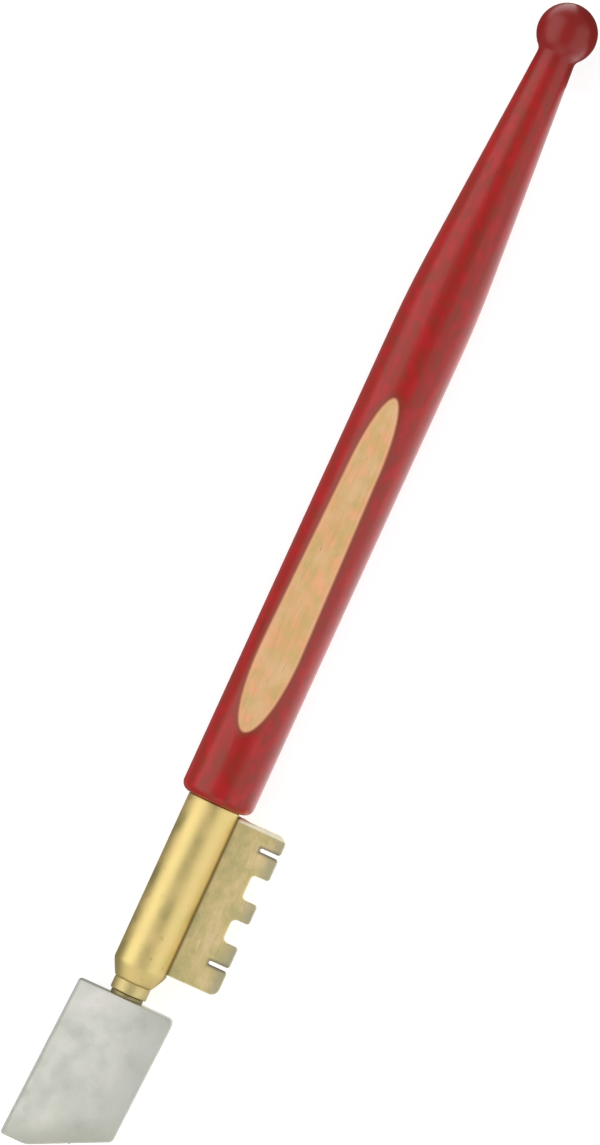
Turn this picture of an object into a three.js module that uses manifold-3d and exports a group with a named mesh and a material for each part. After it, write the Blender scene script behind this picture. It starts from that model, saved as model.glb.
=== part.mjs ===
// Swivel-head diamond glass cutter: a turned wooden handle with a ball end, a brass barrel with a comb
// of breaking notches, and a flat metal head block that swivels on the barrel's nose and holds the
// diamond in its slanted sole.
//
// Millimetres, +Z up. The tool lies on its side: its long axis runs along X with the ball end at +X, the
// comb points to -Y and the thumb flat on the handle faces +Z. Inside the tool's own group the axis is
// the X axis, and a "station" is the distance along it from the handle's front face, negative towards
// the head. The whole group is then set down with the middle of its footprint at the origin.

import * as THREE from "three";
import { mergeVertices } from "three/addons/utils/BufferGeometryUtils.js";
import Module from "manifold-3d";

// Handle, from its front face at station 0 to the top of the ball.
const HANDLE_LENGTH = 124.9;
const HANDLE_RADIUS = 5.5;
const HANDLE_FRONT_RADIUS = 4.15;
const HANDLE_CHAMFER = 1.3;
const TAPER_START = 73;
const TAPER_CORNER = 79;
const TAPER_STRAIGHT = 87;
const TAPER_RADIUS = 4.88;
const NECK_RADIUS = 2.8;
const BALL_RADIUS = 4.4;

// Thumb flat, ground across the front half of the handle and a little deeper towards the head.
const FLAT_START = 10.8;
const FLAT_DEEPEST = 23.2;
const FLAT_SHALLOW = 50.4;
const FLAT_END = 63.1;
const FLAT_DEPTH_HEAD_END = 1.03;
const FLAT_DEPTH_BALL_END = 0.63;
const FLAT_TURN = THREE.MathUtils.degToRad(6.5);

// Threaded stud that joins the handle to the barrel.
const STUD_RADIUS = 2;
const STUD_ROOT_RADIUS = 1.65;
const STUD_IN_BARREL = 11.5;
const STUD_IN_HANDLE = 24.5;
const STUD_PITCH = 2.4;

// Brass barrel, its nose and the collar that the head block swivels against.
const BARREL_RADIUS = 4;
const BARREL_LENGTH = 25.6;
const NOSE_LENGTH = 2.4;
const NOSE_RADIUS = 2.85;
const NOSE_BULGE = 0.8;
const NOSE_SHOULDER = 3.9;
const NOSE_CREASE = 0.15;
const COLLAR_RADIUS = 2.75;
const COLLAR_LENGTH = 1.75;
const STEM_BORE_LENGTH = 9.4;

// Breaker comb, a flat plate let into a slot along the barrel. Notches are listed from the handle end.
const COMB_THICKNESS = 2;
const COMB_BACK = 0.3;
const COMB_FRONT = 25.1;
const COMB_REACH = 11.6;
const COMB_SEAT = 2.8;
const COMB_CORNER = 1.4;
const TOOTH_CORNER = 0.6;
const NOTCHES = [
  { station: -3.4, width: 0.6, depth: 3.0, root: 0.25 },
  { station: -8.95, width: 3.8, depth: 2.5, root: 0.7 },
  { station: -15.65, width: 3.6, depth: 2.5, root: 0.9 },
  { station: -20.95, width: 0.6, depth: 3.0, root: 0.25 },
];

// Swivel stem, its cross pin and the dark washer under the collar.
const STEM_RADIUS = 1.55;
const STEM_GROOVE_RADIUS = 1.0;
const STEM_GROOVE_WIDTH = 1.2;
const STEM_IN_BLOCK = 5.8;
const STEM_CHAMFER = 0.3;
const PIN_RADIUS = 0.5;
const PIN_LENGTH = 5.4;
const PIN_STATION = -26.8;
const WASHER_RADIUS = 2.45;
const WASHER_THICKNESS = 0.6;

// Head block: square to the axis at the top and the heel, sides leaning, sole slanted.
const BLOCK_LENGTH = 24.65;
const BLOCK_THICKNESS = 6;
const BLOCK_HEEL_SIDE = 7.2;
const BLOCK_COMB_SIDE = -7.65;
const BLOCK_LEAN = THREE.MathUtils.degToRad(2.7);
const HEEL_WIDTH = 4;
const SOLE_SLANT = THREE.MathUtils.degToRad(25.8);
const BLOCK_CORNER = 0.5;
const BLOCK_TOP_CORNER = 1.2;
const BLOCK_BEVEL = 0.3;

// Diamond and the copper sett that holds it in the middle of the sole.
const SETT_RADIUS = 1.3;
const SETT_LENGTH = 5;
const DIAMOND_RADIUS = 0.6;
const DIAMOND_PROUD = 0.3;

// Clearances: between fixed pieces, around the turning stem, around pressed-in rods, and past the end
// of a rod in its bore.
const GAP = 0.05;
const RUNNING = 0.05;
const SEATED = 0.06;
const END_ROOM = 0.5;

// How finely round shapes are divided.
const ROUND_SEGMENTS = 48;
const SMALL_SEGMENTS = 24;
const CURVE_STEPS = 6;
const MERGE_DISTANCE = 1e-4;
const THROUGH = 1;

const COLLAR_STATION = -BARREL_LENGTH - NOSE_LENGTH - NOSE_CREASE;
const COLLAR_FACE = COLLAR_STATION - COLLAR_LENGTH;
const BLOCK_TOP = COLLAR_FACE - WASHER_THICKNESS - 2 * GAP;
const HEEL_STATION = BLOCK_TOP - BLOCK_LENGTH;

const wasm = await Module();
wasm.setup();

const redLacquer = new THREE.MeshStandardMaterial({ color: "#9a2c24", roughness: 0.28, metalness: 0 });
const brass = new THREE.MeshStandardMaterial({ color: "#d6b870", roughness: 0.3, metalness: 1 });
const combBrass = new THREE.MeshStandardMaterial({ color: "#c3ae78", roughness: 0.5, metalness: 1 });
const steel = new THREE.MeshStandardMaterial({ color: "#b4b6b8", roughness: 0.35, metalness: 1 });
const blackSteel = new THREE.MeshStandardMaterial({ color: "#4c4636", roughness: 0.5, metalness: 1 });
const satinNickel = new THREE.MeshStandardMaterial({ color: "#c9cac1", roughness: 0.45, metalness: 1 });
const copper = new THREE.MeshStandardMaterial({ color: "#b3704c", roughness: 0.35, metalness: 1 });
const diamondStone = new THREE.MeshStandardMaterial({ color: "#dfe3e4", roughness: 0.05, metalness: 0 });

// A closed geometry as a solid that can be cut and joined.
function solidOf(geometry) {
  const bare = geometry.index ? geometry.toNonIndexed() : geometry.clone();
  bare.deleteAttribute("normal");
  bare.deleteAttribute("uv");
  const merged = mergeVertices(bare, MERGE_DISTANCE);
  const mesh = new wasm.Mesh({
    numProp: 3,
    vertProperties: merged.attributes.position.array,
    triVerts: new Uint32Array(merged.index.array),
  });
  return new wasm.Manifold(mesh);
}

// The geometry of one shape with others cut out of it.
function cutAway(shape, ...cutters) {
  const left = cutters.reduce((rest, cutter) => rest.subtract(solidOf(cutter)), solidOf(shape));
  const mesh = left.getMesh();
  const geometry = new THREE.BufferGeometry();
  geometry.setAttribute("position", new THREE.BufferAttribute(mesh.vertProperties, 3));
  geometry.setIndex(new THREE.BufferAttribute(mesh.triVerts, 1));
  geometry.computeVertexNormals();
  return geometry;
}

// A shape turned about the X axis. The path's points are (station, radius), station increasing outside.
function turned(path, segments = ROUND_SEGMENTS) {
  const profile = path.getPoints(CURVE_STEPS).map((point) => new THREE.Vector2(point.y, point.x));
  return new THREE.LatheGeometry(profile, segments).rotateZ(-Math.PI / 2);
}

// A plain round rod along the X axis between two stations.
function rod(from, to, radius, segments = SMALL_SEGMENTS) {
  const path = new THREE.Path();
  path.moveTo(from, 0);
  path.lineTo(from, radius);
  path.lineTo(to, radius);
  path.lineTo(to, 0);
  return turned(path, segments);
}

// A flat plate of an outline drawn as (station, across), with its middle on the axis.
function plate(outline, thickness, bevel = 0) {
  const flat = thickness - 2 * bevel;
  const options = {
    depth: flat,
    curveSegments: CURVE_STEPS,
    bevelEnabled: bevel > 0,
    bevelThickness: bevel,
    bevelSize: bevel,
    bevelOffset: -bevel,
    bevelSegments: 1,
  };
  return new THREE.ExtrudeGeometry(outline, options).translate(0, 0, -flat / 2);
}

// Goes on to the corner between two straight edges of an outline and rounds it off.
function roundCorner(outline, before, corner, after, radius) {
  const enter = corner.clone().add(before.clone().sub(corner).setLength(radius));
  const leave = corner.clone().add(after.clone().sub(corner).setLength(radius));
  outline.lineTo(enter.x, enter.y);
  outline.quadraticCurveTo(corner.x, corner.y, leave.x, leave.y);
}

// An outline through corners given as [point, radius].
function roundedOutline(corners) {
  const points = corners.map(([point]) => point);
  const last = points.length - 1;
  const start = points[0].clone().lerp(points[last], 0.5);
  const outline = new THREE.Shape();
  outline.moveTo(start.x, start.y);
  corners.forEach(([corner, radius], i) => {
    const before = points[i === 0 ? last : i - 1];
    const after = points[i === last ? 0 : i + 1];
    roundCorner(outline, before, corner, after, radius);
  });
  outline.closePath();
  return outline;
}

function named(name, geometry, material) {
  const mesh = new THREE.Mesh(geometry, material);
  mesh.name = name;
  return mesh;
}

// What the thumb flat takes off: flat in the middle, curving up to the surface at both ends.
function thumbFlatCutter() {
  const deep = HANDLE_RADIUS - FLAT_DEPTH_HEAD_END;
  const shallow = HANDLE_RADIUS - FLAT_DEPTH_BALL_END;
  const outline = new THREE.Shape();
  outline.moveTo(FLAT_START, HANDLE_RADIUS);
  outline.quadraticCurveTo((FLAT_START + FLAT_DEEPEST) / 2, deep, FLAT_DEEPEST, deep);
  outline.lineTo(FLAT_SHALLOW, shallow);
  outline.quadraticCurveTo((FLAT_SHALLOW + FLAT_END) / 2, shallow, FLAT_END, HANDLE_RADIUS);
  outline.lineTo(FLAT_END, HANDLE_RADIUS + THROUGH);
  outline.lineTo(FLAT_START, HANDLE_RADIUS + THROUGH);
  outline.closePath();
  return plate(outline, 2 * HANDLE_RADIUS).rotateX(Math.PI / 2).rotateX(-FLAT_TURN);
}

// Turned wooden handle: chamfered mouth, parallel grip, long taper, neck and ball.
function handle() {
  const bore = STUD_RADIUS + SEATED;
  const boreEnd = STUD_IN_HANDLE + END_ROOM;
  const ballCentre = HANDLE_LENGTH - BALL_RADIUS;
  const neckAngle = Math.PI - Math.asin(NECK_RADIUS / BALL_RADIUS);
  const path = new THREE.Path();
  path.moveTo(boreEnd + bore / 2, 0);
  path.lineTo(boreEnd, bore);
  path.lineTo(0, bore);
  path.lineTo(0, HANDLE_FRONT_RADIUS);
  path.lineTo(HANDLE_CHAMFER, HANDLE_RADIUS);
  path.lineTo(TAPER_START, HANDLE_RADIUS);
  path.quadraticCurveTo(TAPER_CORNER, HANDLE_RADIUS, TAPER_STRAIGHT, TAPER_RADIUS);
  path.lineTo(ballCentre + BALL_RADIUS * Math.cos(neckAngle), NECK_RADIUS);
  path.absarc(ballCentre, 0, BALL_RADIUS, neckAngle, 0, true);
  return named("handle", cutAway(turned(path), thumbFlatCutter()), redLacquer);
}

// Steel stud with a coarse thread, drawn as rings, half in the barrel and half in the wood.
function tangStud() {
  const path = new THREE.Path();
  path.moveTo(-STUD_IN_BARREL, 0);
  path.lineTo(-STUD_IN_BARREL, STUD_ROOT_RADIUS);
  for (let ring = -STUD_IN_BARREL; ring < STUD_IN_HANDLE - STUD_PITCH; ring += STUD_PITCH) {
    path.lineTo(ring + 0.5 * STUD_PITCH, STUD_RADIUS);
    path.lineTo(ring + STUD_PITCH, STUD_ROOT_RADIUS);
  }
  path.lineTo(STUD_IN_HANDLE, STUD_ROOT_RADIUS);
  path.lineTo(STUD_IN_HANDLE, 0);
  return named("tang_stud", turned(path, SMALL_SEGMENTS), steel);
}

// Brass barrel, drilled from both ends, slotted for the comb and cross-drilled for the pin.
function barrel() {
  const studBore = STUD_RADIUS + SEATED;
  const noseEnd = -BARREL_LENGTH - NOSE_LENGTH;
  const path = new THREE.Path();
  path.moveTo(COLLAR_FACE, 0);
  path.lineTo(COLLAR_FACE, COLLAR_RADIUS - NOSE_CREASE);
  path.lineTo(COLLAR_FACE + NOSE_CREASE, COLLAR_RADIUS);
  path.lineTo(COLLAR_STATION, COLLAR_RADIUS);
  path.lineTo(noseEnd, NOSE_RADIUS - NOSE_CREASE);
  path.lineTo(noseEnd, NOSE_RADIUS);
  path.quadraticCurveTo(noseEnd + NOSE_BULGE * NOSE_LENGTH, NOSE_SHOULDER, -BARREL_LENGTH, BARREL_RADIUS);
  path.lineTo(-GAP, BARREL_RADIUS);
  path.lineTo(-GAP, 0);
  const pinBore = PIN_RADIUS + GAP;
  const pinHole = new THREE.CylinderGeometry(pinBore, pinBore, 3 * BARREL_RADIUS, SMALL_SEGMENTS);
  const slotLength = COMB_FRONT + GAP + THROUGH;
  const slot = new THREE.BoxGeometry(slotLength, BARREL_RADIUS, COMB_THICKNESS + 2 * GAP);
  const slotFloor = -(COMB_SEAT - GAP);
  return named(
    "barrel",
    cutAway(
      turned(path),
      rod(-STUD_IN_BARREL - END_ROOM, THROUGH, studBore),
      rod(COLLAR_FACE - THROUGH, COLLAR_FACE + STEM_BORE_LENGTH, STEM_RADIUS + RUNNING, ROUND_SEGMENTS),
      pinHole.translate(PIN_STATION, 0, -pinOffset()),
      slot.translate(THROUGH - slotLength / 2, slotFloor - BARREL_RADIUS / 2, 0),
    ),
    brass,
  );
}

// How far the cross pin's centre lies from the axis, so that it runs in the stem's groove.
function pinOffset() {
  return STEM_GROOVE_RADIUS + RUNNING + PIN_RADIUS;
}

// Breaker comb: two wide notches for window glass, two narrow saw cuts and rounded teeth.
function breakerComb() {
  const corners = [
    [new THREE.Vector2(-COMB_FRONT, -COMB_REACH), COMB_CORNER],
    [new THREE.Vector2(-COMB_FRONT, -COMB_SEAT), TOOTH_CORNER],
    [new THREE.Vector2(-COMB_BACK, -COMB_SEAT), TOOTH_CORNER],
    [new THREE.Vector2(-COMB_BACK, -COMB_REACH), COMB_CORNER],
  ];
  for (const { station, width, depth, root } of NOTCHES) {
    const near = station + width / 2;
    const far = station - width / 2;
    corners.push(
      [new THREE.Vector2(near, -COMB_REACH), TOOTH_CORNER],
      [new THREE.Vector2(near, depth - COMB_REACH), root],
      [new THREE.Vector2(far, depth - COMB_REACH), root],
      [new THREE.Vector2(far, -COMB_REACH), TOOTH_CORNER],
    );
  }
  return named("breaker_comb", plate(roundedOutline(corners), COMB_THICKNESS), combBrass);
}

// Swivel stem, fixed in the block and turning in the barrel's nose, with a groove for the cross pin.
function swivelStem() {
  const innerEnd = COLLAR_FACE + STEM_BORE_LENGTH - END_ROOM;
  const blockEnd = BLOCK_TOP - STEM_IN_BLOCK;
  const grooveFront = PIN_STATION - STEM_GROOVE_WIDTH / 2;
  const grooveBack = PIN_STATION + STEM_GROOVE_WIDTH / 2;
  const path = new THREE.Path();
  path.moveTo(blockEnd, 0);
  path.lineTo(blockEnd, STEM_RADIUS);
  path.lineTo(grooveFront, STEM_RADIUS);
  path.lineTo(grooveFront, STEM_GROOVE_RADIUS);
  path.lineTo(grooveBack, STEM_GROOVE_RADIUS);
  path.lineTo(grooveBack, STEM_RADIUS);
  path.lineTo(innerEnd - STEM_CHAMFER, STEM_RADIUS);
  path.lineTo(innerEnd, STEM_RADIUS - STEM_CHAMFER);
  path.lineTo(innerEnd, 0);
  return named("swivel_stem", turned(path), steel);
}

// Cross pin that keeps the stem in the barrel but lets it turn.
function stemPin() {
  const pin = new THREE.CylinderGeometry(PIN_RADIUS, PIN_RADIUS, PIN_LENGTH, SMALL_SEGMENTS);
  return named("stem_pin", pin.translate(PIN_STATION, 0, -pinOffset()), steel);
}

// Blackened washer between the collar and the block.
function swivelWasher() {
  const front = BLOCK_TOP + GAP;
  const back = front + WASHER_THICKNESS;
  const hole = STEM_RADIUS + SEATED;
  const path = new THREE.Path();
  path.moveTo(front, hole);
  path.lineTo(front, WASHER_RADIUS);
  path.lineTo(back, WASHER_RADIUS);
  path.lineTo(back, hole);
  path.lineTo(front, hole);
  return named("swivel_washer", turned(path), blackSteel);
}

// The corners of the head block as (station, across), from the top on the heel side.
function blockCorners() {
  const lean = Math.tan(BLOCK_LEAN);
  const heelOuter = BLOCK_HEEL_SIDE + BLOCK_LENGTH * lean;
  const heelInner = heelOuter - HEEL_WIDTH;
  const slant = Math.tan(SOLE_SLANT);
  // The sole rises from the heel until it meets the leaning comb-side edge.
  const soleRun = (heelInner - BLOCK_COMB_SIDE - BLOCK_LENGTH * lean) / (1 - lean * slant);
  const toe = new THREE.Vector2(HEEL_STATION + soleRun * slant, heelInner - soleRun);
  return {
    heelTop: new THREE.Vector2(BLOCK_TOP, BLOCK_HEEL_SIDE),
    heelOuter: new THREE.Vector2(HEEL_STATION, heelOuter),
    heelInner: new THREE.Vector2(HEEL_STATION, heelInner),
    toe,
    combTop: new THREE.Vector2(BLOCK_TOP, BLOCK_COMB_SIDE),
  };
}

// Moves a shape that points along +Y so that it points out of the middle of the sole.
function setInSole(geometry, proud) {
  const { heelInner, toe } = blockCorners();
  const middle = heelInner.clone().lerp(toe, 0.5);
  const outward = Math.PI + SOLE_SLANT;
  return geometry
    .translate(0, proud, 0)
    .rotateZ(outward - Math.PI / 2)
    .translate(middle.x, middle.y, 0);
}

// Head block, bored for the stem at the top and for the sett in the sole.
function headBlock() {
  const { heelTop, heelOuter, heelInner, toe, combTop } = blockCorners();
  const outline = roundedOutline([
    [combTop, BLOCK_TOP_CORNER],
    [heelTop, BLOCK_CORNER],
    [heelOuter, BLOCK_CORNER],
    [heelInner, BLOCK_CORNER],
    [toe, BLOCK_CORNER],
  ]);
  const settBore = new THREE.CylinderGeometry(
    SETT_RADIUS + SEATED,
    SETT_RADIUS + SEATED,
    SETT_LENGTH + GAP + THROUGH,
    SMALL_SEGMENTS,
  );
  return named(
    "head_block",
    cutAway(
      plate(outline, BLOCK_THICKNESS, BLOCK_BEVEL),
      rod(BLOCK_TOP - STEM_IN_BLOCK - GAP, BLOCK_TOP + THROUGH, STEM_RADIUS + SEATED, ROUND_SEGMENTS),
      setInSole(settBore, (THROUGH - SETT_LENGTH - GAP) / 2),
    ),
    satinNickel,
  );
}

// The diamond's shape: a small octahedral stone with one point out of the sole.
function stone(radius) {
  return setInSole(new THREE.OctahedronGeometry(radius), DIAMOND_PROUD - DIAMOND_RADIUS);
}

// Copper sett, flush with the sole, with the pocket that grips the stone.
function diamondSett() {
  const plug = new THREE.CylinderGeometry(SETT_RADIUS, SETT_RADIUS, SETT_LENGTH, SMALL_SEGMENTS);
  const pocketed = cutAway(setInSole(plug, -SETT_LENGTH / 2), stone(DIAMOND_RADIUS + GAP));
  return named("diamond_sett", pocketed, copper);
}

function diamond() {
  return named("diamond", stone(DIAMOND_RADIUS), diamondStone);
}

const tool = new THREE.Group();
tool.add(handle(), tangStud(), barrel(), breakerComb(), stemPin());
tool.add(swivelStem(), swivelWasher(), headBlock(), diamondSett(), diamond());

const reach = new THREE.Box3().setFromObject(tool, true);
const middle = reach.getCenter(new THREE.Vector3());
tool.position.set(-middle.x, -middle.y, -reach.min.z);

const glassCutter = new THREE.Group();
glassCutter.add(tool);

export default glassCutter;
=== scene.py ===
# Swivel-head diamond glass cutter, lying on its side with the thumb flat of its handle up.
#
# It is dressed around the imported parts, in metres: +X runs along the handle to its ball end, -Y to
# the teeth of the breaker comb and +Z is up. A "station" is a distance along the tool from the
# front face of the handle, negative towards the head.

import math

import bpy
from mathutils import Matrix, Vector


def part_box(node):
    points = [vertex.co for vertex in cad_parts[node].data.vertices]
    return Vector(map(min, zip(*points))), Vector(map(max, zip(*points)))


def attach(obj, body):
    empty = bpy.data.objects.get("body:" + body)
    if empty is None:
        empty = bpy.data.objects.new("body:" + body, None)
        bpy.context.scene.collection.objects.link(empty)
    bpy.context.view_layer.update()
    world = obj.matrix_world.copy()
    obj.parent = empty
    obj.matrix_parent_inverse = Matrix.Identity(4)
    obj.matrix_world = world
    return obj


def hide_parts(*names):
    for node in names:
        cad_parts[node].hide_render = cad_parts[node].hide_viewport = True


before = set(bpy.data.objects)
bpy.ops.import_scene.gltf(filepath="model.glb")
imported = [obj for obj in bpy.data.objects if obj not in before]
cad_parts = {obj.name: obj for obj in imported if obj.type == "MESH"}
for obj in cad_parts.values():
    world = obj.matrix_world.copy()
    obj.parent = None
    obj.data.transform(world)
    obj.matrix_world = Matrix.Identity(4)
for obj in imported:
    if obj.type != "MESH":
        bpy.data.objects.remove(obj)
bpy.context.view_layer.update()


# --------------------------------------------------------------------------------------------------
# Camera. It hangs straight above the tool and is turned so that the tool stands up leaning right.
# Its long lens, far away, draws the tool almost without perspective.

VIEW_HEIGHT = 0.16305
CAMERA_TURN = math.radians(-65.42)
CAMERA_AIM = Vector((0.00005, 0.0043, 0.0055))
LENS = 300
SENSOR = 36
CLIP_START = 0.05

camera_data = bpy.data.cameras.new("camera")
camera_data.lens = LENS
camera_data.sensor_width = SENSOR
camera_data.clip_start = CLIP_START
camera = bpy.data.objects.new("camera", camera_data)
camera.location = CAMERA_AIM + Vector((0, 0, VIEW_HEIGHT * LENS / SENSOR))
camera.rotation_euler = (0, 0, CAMERA_TURN)
bpy.context.scene.collection.objects.link(camera)
bpy.context.scene.camera = camera


# --------------------------------------------------------------------------------------------------
# Studio. A pale table top under two long soft lights, one on each side of the tool, and a fainter
# one at its head. The dimmer gap between them gives round parts a dark line in the middle. Low
# cards that only reflections see keep the table top from washing out the edges of round parts.

FLOOR_SIZE = 12
SOFTBOX_DISTANCE = 0.62
SOFTBOX_COLOUR = (1, 0.985, 0.94)
# Each softbox: the way it stands from the tool, its length, how far from straight up its nearer and
# its farther edge are seen, in degrees, and how bright its surface is.
SOFTBOXES = (
    {"name": "comb_side", "way": (0, -1), "length": 1.3, "edges": (27, 87), "glow": 0.95},
    {"name": "heel_side", "way": (0, 1), "length": 1.3, "edges": (26, 86), "glow": 1.4},
    {"name": "head_end", "way": (-1, 0), "length": 0.5, "edges": (50, 85), "glow": 0.8},
)
ROOM_GLOW = 0.42
WALL_HEIGHT = 8
WALL_GLOW = 0.86
CARD_HEIGHT = 0.0002
# Each card: its name, its lowest and highest corner, and how bright it is.
CARDS = (
    ("beside_comb", (-0.5, -0.8), (-0.035, 0.0016), 0.9),
    ("beside_handle", (-0.035, -0.8), (0.079, 0.0016), 1.9),
    ("heel_side", (-0.5, 0.0016), (0.079, 0.8), 0.25),
    ("beside_ball", (0.079, -0.8), (0.0945, 0.8), 0.1),
    ("beyond_ball", (0.0945, 0.003), (0.3, 0.07), 2.4),
    ("past_ball_comb_side", (0.0945, -0.8), (0.5, 0.003), 0.1),
    ("past_ball_heel_side", (0.0945, 0.07), (0.5, 0.8), 0.1),
)


def add_node(material, kind, inputs=None, **settings):
    """A node with its settings, and its inputs given as values or as other nodes' outputs."""
    node = material.node_tree.nodes.new(kind)
    for key, value in settings.items():
        setattr(node, key, value)
    for key, value in (inputs or {}).items():
        if isinstance(value, bpy.types.NodeSocket):
            material.node_tree.links.new(value, node.inputs[key])
        else:
            node.inputs[key].default_value = value
    return node


def new_material(name, **sockets):
    """A material with the values that are the same all over it. Returns it and its shader."""
    material = bpy.data.materials.new(name)
    material.use_nodes = True
    shader = material.node_tree.nodes["Principled BSDF"]
    for key, value in sockets.items():
        shader.inputs[key.replace("_", " ")].default_value = value
    return material, shader


def colour_ramp(material, factor, *stops):
    """A colour for each level of a pattern. Stops are (level, colour)."""
    ramp = add_node(material, "ShaderNodeValToRGB", {"Fac": factor})
    elements = ramp.color_ramp.elements
    while len(elements) < len(stops):
        elements.new(1)
    for element, (level, colour) in zip(elements, stops):
        element.position = level
        element.color = (*colour, 1)
    return ramp.outputs["Color"]


def stretched_noise(material, scale, detail=3, roughness=0.5):
    """A noise on object coordinates, with its own scale along each axis."""
    place = add_node(material, "ShaderNodeTexCoord").outputs["Object"]
    mapping = add_node(material, "ShaderNodeMapping", {"Vector": place, "Scale": scale})
    values = {
        "Vector": mapping.outputs["Vector"],
        "Scale": 1,
        "Detail": detail,
        "Roughness": roughness,
    }
    return add_node(material, "ShaderNodeTexNoise", values).outputs["Fac"]


floor_material, floor_shader = new_material("table_top", Roughness=0.9)
floor_mottle = stretched_noise(floor_material, (9, 9, 9))
floor_colour = colour_ramp(
    floor_material, floor_mottle, (0.3, (0.6, 0.605, 0.62)), (0.7, (0.62, 0.625, 0.64))
)
floor_material.node_tree.links.new(floor_colour, floor_shader.inputs["Base Color"])
floor_shader.inputs["Emission Color"].default_value = (1, 1, 1, 1)
floor_shader.inputs["Emission Strength"].default_value = 0.62

bpy.ops.object.select_all(action="DESELECT")
bpy.ops.mesh.primitive_plane_add(size=FLOOR_SIZE, location=(0, 0, 0))
floor = bpy.context.object
floor.name = "table_top"
floor.data.materials.append(floor_material)
floor.visible_diffuse = False


for softbox in SOFTBOXES:
    near_edge, far_edge = (math.radians(edge) for edge in softbox["edges"])
    tilt = (near_edge + far_edge) / 2
    width = 2 * SOFTBOX_DISTANCE * math.tan((far_edge - near_edge) / 2)
    light = bpy.data.lights.new("softbox_" + softbox["name"], "AREA")
    light.shape = "RECTANGLE"
    light.size = softbox["length"]
    light.size_y = width
    light.energy = softbox["glow"] * math.pi * softbox["length"] * width
    light.color = SOFTBOX_COLOUR
    lamp = bpy.data.objects.new(light.name, light)
    out_x, out_y = softbox["way"]
    towards = Vector((out_x * math.sin(tilt), out_y * math.sin(tilt), math.cos(tilt)))
    lamp.location = towards * SOFTBOX_DISTANCE
    lamp.rotation_euler = towards.to_track_quat("Z", "Y").to_euler()
    lamp.visible_camera = False
    bpy.context.scene.collection.objects.link(lamp)

for name, low, high, glow in CARDS:
    bpy.ops.object.select_all(action="DESELECT")
    bpy.ops.mesh.primitive_plane_add(
        size=1,
        location=((low[0] + high[0]) / 2, (low[1] + high[1]) / 2, CARD_HEIGHT),
    )
    card = bpy.context.object
    card.name = "card_" + name
    card.scale = (high[0] - low[0], high[1] - low[1], 1)
    card_paper, paper_shader = new_material("card_" + name, Specular_IOR_Level=0)
    paper_shader.inputs["Base Color"].default_value = (0, 0, 0, 1)
    paper_shader.inputs["Emission Color"].default_value = (1, 1, 1, 1)
    paper_shader.inputs["Emission Strength"].default_value = glow
    card.data.materials.append(card_paper)
    card.visible_camera = False
    card.visible_diffuse = False
    card.visible_shadow = False
    card.visible_transmission = False

# A pale wall right round the room, for low views. Only the camera sees it, so it lights nothing.
bpy.ops.object.select_all(action="DESELECT")
bpy.ops.mesh.primitive_cylinder_add(
    vertices=64, radius=0.49 * FLOOR_SIZE, depth=WALL_HEIGHT, end_fill_type="NOTHING"
)
wall = bpy.context.object
wall.name = "room_wall"
wall.location.z = WALL_HEIGHT / 2
wall_paint, wall_shader = new_material("wall_paint", Specular_IOR_Level=0)
wall_shader.inputs["Base Color"].default_value = (0, 0, 0, 1)
wall_shader.inputs["Emission Color"].default_value = (1, 1, 1, 1)
wall_shader.inputs["Emission Strength"].default_value = WALL_GLOW
wall.data.materials.append(wall_paint)
wall.visible_diffuse = False
wall.visible_glossy = False
wall.visible_shadow = False
wall.visible_transmission = False

room = bpy.data.worlds.new("room")
room.use_nodes = True
room.node_tree.nodes["Background"].inputs["Color"].default_value = (1, 1, 1, 1)
room.node_tree.nodes["Background"].inputs["Strength"].default_value = ROOM_GLOW
bpy.context.scene.world = room
bpy.context.scene.view_settings.view_transform = "Standard"


# --------------------------------------------------------------------------------------------------
# Handle. Beech or a like pale wood, turned on a lathe to a pencil-thick grip, a long taper, a neck
# and a ball, bored at its mouth for the stud and dipped in red lacquer. The thumb flat is ground on
# afterwards, so it is bare wood. A thin darker line is painted along its edge.

HANDLE_RADIUS = 0.0055
HANDLE_MOUTH_RADIUS = 0.00415
HANDLE_SHOULDER = 0.0013
HANDLE_BORE_RADIUS = 0.00206
HANDLE_BORE_END = 0.025
HANDLE_BORE_TIP = 0.02603
TAPER_START = 0.073
TAPER_CORNER = 0.079
TAPER_STRAIGHT = 0.087
TAPER_RADIUS = 0.00488
NECK_RADIUS = 0.0028
BALL_RADIUS = 0.0044
NECK_FILLET = 0.0006
HANDLE_SIDES = 128
GRIP_STEPS = 64
TAPER_STEPS = 20
BALL_STEPS = 34

FLAT_START = 0.0108
FLAT_DEEPEST = 0.0232
FLAT_SHALLOW = 0.0504
FLAT_END = 0.0631
FLAT_DEPTH_HEAD_END = 0.00103
FLAT_DEPTH_BALL_END = 0.00063
FLAT_TURN = math.radians(6.5)
FLAT_STEPS = 22
WHEEL_STRIPS = 40
WHEEL_THICKNESS = 0.004

handle_low, handle_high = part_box("handle")
washer_low, washer_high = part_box("swivel_washer")
mouth = handle_low.x
handle_length = handle_high.x - handle_low.x
axis_y = (washer_low.y + washer_high.y) / 2
axis_z = (washer_low.z + washer_high.z) / 2


def on_axis(station):
    """The point of the tool's axis at a station."""
    return Vector((mouth + station, axis_y, axis_z))


def curve_through(start, corner, end, steps):
    """Points of a curve from start to end that leaves and arrives along the lines to the corner."""
    points = []
    for step in range(1, steps + 1):
        t = step / steps
        a, b, c = (1 - t) ** 2, 2 * t * (1 - t), t**2
        points.append(tuple(a * s + b * m + c * e for s, m, e in zip(start, corner, end)))
    return points


def straight_run(start, end, steps):
    """Points evenly spaced from start to end, without start."""
    return [
        tuple(a + (b - a) * step / steps for a, b in zip(start, end))
        for step in range(1, steps + 1)
    ]


def activate(piece):
    """Leaves only this piece selected and active."""
    bpy.ops.object.select_all(action="DESELECT")
    piece.select_set(True)
    bpy.context.view_layer.objects.active = piece


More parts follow.
